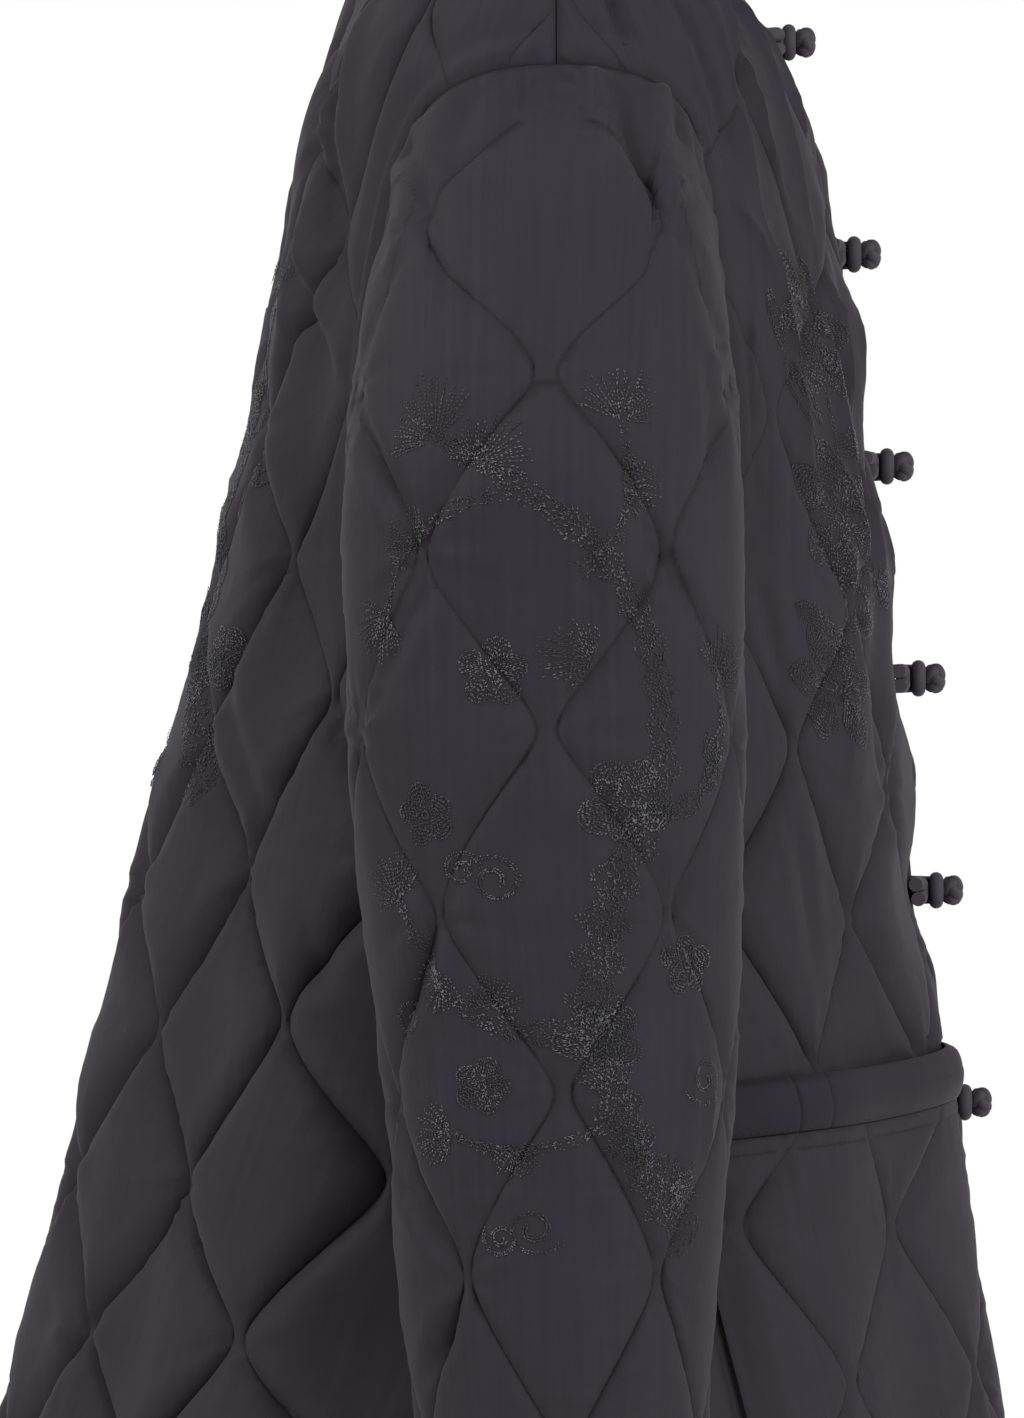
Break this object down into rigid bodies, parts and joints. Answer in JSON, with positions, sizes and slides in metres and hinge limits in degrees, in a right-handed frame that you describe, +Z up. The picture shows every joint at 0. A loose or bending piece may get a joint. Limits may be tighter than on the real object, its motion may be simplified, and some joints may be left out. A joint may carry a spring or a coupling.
{
  "type": "quilted down jacket",
  "caption": "Worn quilted down jacket with a stand collar, set-in sleeves, patch pockets with bound mouths and corded frog closures down the front, hollow and open at neck, hem and cuffs.",
  "frame": {"origin": "middle of the neck, level with the neck ends of the shoulder seams", "axes": "+Z up, front of the jacket towards -Y, the wearer's right towards -X"},
  "size_m": [0.7182, 0.4323, 0.7375],
  "materials": {
    "charcoal_taffeta_back": "smooth matt taffeta with a soft sheen over down filling",
    "charcoal_taffeta_front_right": "smooth matt taffeta with a soft sheen over down filling",
    "charcoal_taffeta_front_left": "smooth matt taffeta with a soft sheen over down filling",
    "charcoal_taffeta_sleeve_right": "smooth matt taffeta with a soft sheen over down filling",
    "charcoal_taffeta_sleeve_left": "smooth matt taffeta with a soft sheen over down filling",
    "charcoal_trim_taffeta_front_band_right": "smooth matt taffeta trim",
    "charcoal_trim_taffeta_front_band_left": "smooth matt taffeta trim",
    "charcoal_taffeta_pocket_right": "smooth matt taffeta with a soft sheen over down filling",
    "charcoal_taffeta_pocket_left": "smooth matt taffeta with a soft sheen over down filling",
    "charcoal_trim_taffeta_pocket_band_right": "smooth matt taffeta trim",
    "charcoal_trim_taffeta_pocket_band_left": "smooth matt taffeta trim",
    "charcoal_trim_taffeta_collar": "smooth matt taffeta trim",
    "charcoal_frog_cord_frog_loop_1": "corded cloth, soft sheen",
    "charcoal_frog_cord_frog_bar_1": "corded cloth, soft sheen",
    "charcoal_frog_cord_frog_knot_1": "corded cloth, soft sheen",
    "charcoal_frog_cord_frog_loop_2": "corded cloth, soft sheen",
    "charcoal_frog_cord_frog_bar_2": "corded cloth, soft sheen",
    "charcoal_frog_cord_frog_knot_2": "corded cloth, soft sheen",
    "charcoal_frog_cord_frog_loop_3": "corded cloth, soft sheen",
    "charcoal_frog_cord_frog_bar_3": "corded cloth, soft sheen",
    "charcoal_frog_cord_frog_knot_3": "corded cloth, soft sheen",
    "charcoal_frog_cord_frog_loop_4": "corded cloth, soft sheen",
    "charcoal_frog_cord_frog_bar_4": "corded cloth, soft sheen",
    "charcoal_frog_cord_frog_knot_4": "corded cloth, soft sheen",
    "charcoal_frog_cord_frog_loop_5": "corded cloth, soft sheen",
    "charcoal_frog_cord_frog_bar_5": "corded cloth, soft sheen",
    "charcoal_frog_cord_frog_knot_5": "corded cloth, soft sheen",
    "charcoal_frog_cord_frog_loop_6": "corded cloth, soft sheen",
    "charcoal_frog_cord_frog_bar_6": "corded cloth, soft sheen",
    "charcoal_frog_cord_frog_knot_6": "corded cloth, soft sheen"
  },
  "bodies": {
    "root": {"back": "charcoal_taffeta_back", "front_right": "charcoal_taffeta_front_right", "front_left": "charcoal_taffeta_front_left", "sleeve_right": "charcoal_taffeta_sleeve_right", "sleeve_left": "charcoal_taffeta_sleeve_left", "front_band_right": "charcoal_trim_taffeta_front_band_right", "front_band_left": "charcoal_trim_taffeta_front_band_left", "pocket_right": "charcoal_taffeta_pocket_right", "pocket_left": "charcoal_taffeta_pocket_left", "pocket_band_right": "charcoal_trim_taffeta_pocket_band_right", "pocket_band_left": "charcoal_trim_taffeta_pocket_band_left", "collar": "charcoal_trim_taffeta_collar", "frog_loop_1": "charcoal_frog_cord_frog_loop_1", "frog_bar_1": "charcoal_frog_cord_frog_bar_1", "frog_knot_1": "charcoal_frog_cord_frog_knot_1", "frog_loop_2": "charcoal_frog_cord_frog_loop_2", "frog_bar_2": "charcoal_frog_cord_frog_bar_2", "frog_knot_2": "charcoal_frog_cord_frog_knot_2", "frog_loop_3": "charcoal_frog_cord_frog_loop_3", "frog_bar_3": "charcoal_frog_cord_frog_bar_3", "frog_knot_3": "charcoal_frog_cord_frog_knot_3", "frog_loop_4": "charcoal_frog_cord_frog_loop_4", "frog_bar_4": "charcoal_frog_cord_frog_bar_4", "frog_knot_4": "charcoal_frog_cord_frog_knot_4", "frog_loop_5": "charcoal_frog_cord_frog_loop_5", "frog_bar_5": "charcoal_frog_cord_frog_bar_5", "frog_knot_5": "charcoal_frog_cord_frog_knot_5", "frog_loop_6": "charcoal_frog_cord_frog_loop_6", "frog_bar_6": "charcoal_frog_cord_frog_bar_6", "frog_knot_6": "charcoal_frog_cord_frog_knot_6"}
  },
  "joints": []
}
